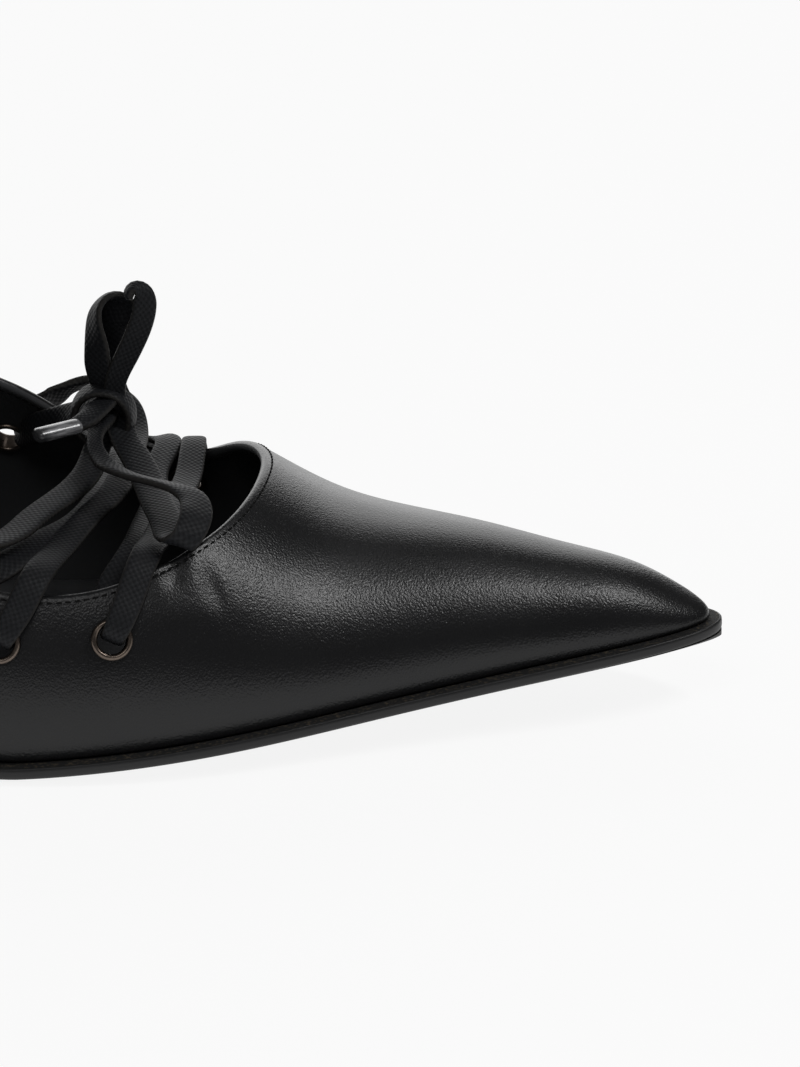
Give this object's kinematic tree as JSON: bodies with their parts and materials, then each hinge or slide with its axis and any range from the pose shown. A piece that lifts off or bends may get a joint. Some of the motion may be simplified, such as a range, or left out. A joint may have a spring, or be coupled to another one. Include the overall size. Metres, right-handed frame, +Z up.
{
  "type": "lace up heel",
  "caption": "Women's pointed court shoe for the right foot, laced over the instep through eyelets and tied in a bow, on a slim covered heel.",
  "frame": {"origin": "on the floor, at the middle of the flat spot that the forefoot stands on", "axes": "+X to the toe, +Z up, -Y to the outer, lateral side of the right foot"},
  "size_m": [0.2662, 0.0836, 0.1301],
  "materials": {
    "leather": "black smooth calf with a soft sheen",
    "sole_leather": "black dressed sole leather with a rough edge",
    "lining": "black matt lining leather",
    "top_piece_rubber": "black hard rubber",
    "gunmetal": "dark gunmetal with a brown tint",
    "lace": "flat woven lace, waxed, black",
    "aglet_plastic": "clear film over the lace's end"
  },
  "bodies": {
    "root": {"upper": "leather", "outsole": "sole_leather", "insole": "lining", "heel": "leather", "top_piece": "top_piece_rubber", "eyelet_lateral_1": "gunmetal", "eyelet_lateral_2": "gunmetal", "eyelet_lateral_3": "gunmetal", "eyelet_medial_1": "gunmetal", "eyelet_medial_2": "gunmetal", "eyelet_medial_3": "gunmetal", "lace_crossings_front": "lace", "lace_crossings_back": "lace", "lace_run_lateral": "lace", "lace_run_medial": "lace", "lace_knot": "lace", "lace_loop_up": "lace", "lace_loop_front": "lace", "lace_end_up": "lace", "lace_end_back": "lace", "aglet": "aglet_plastic"}
  },
  "joints": []
}
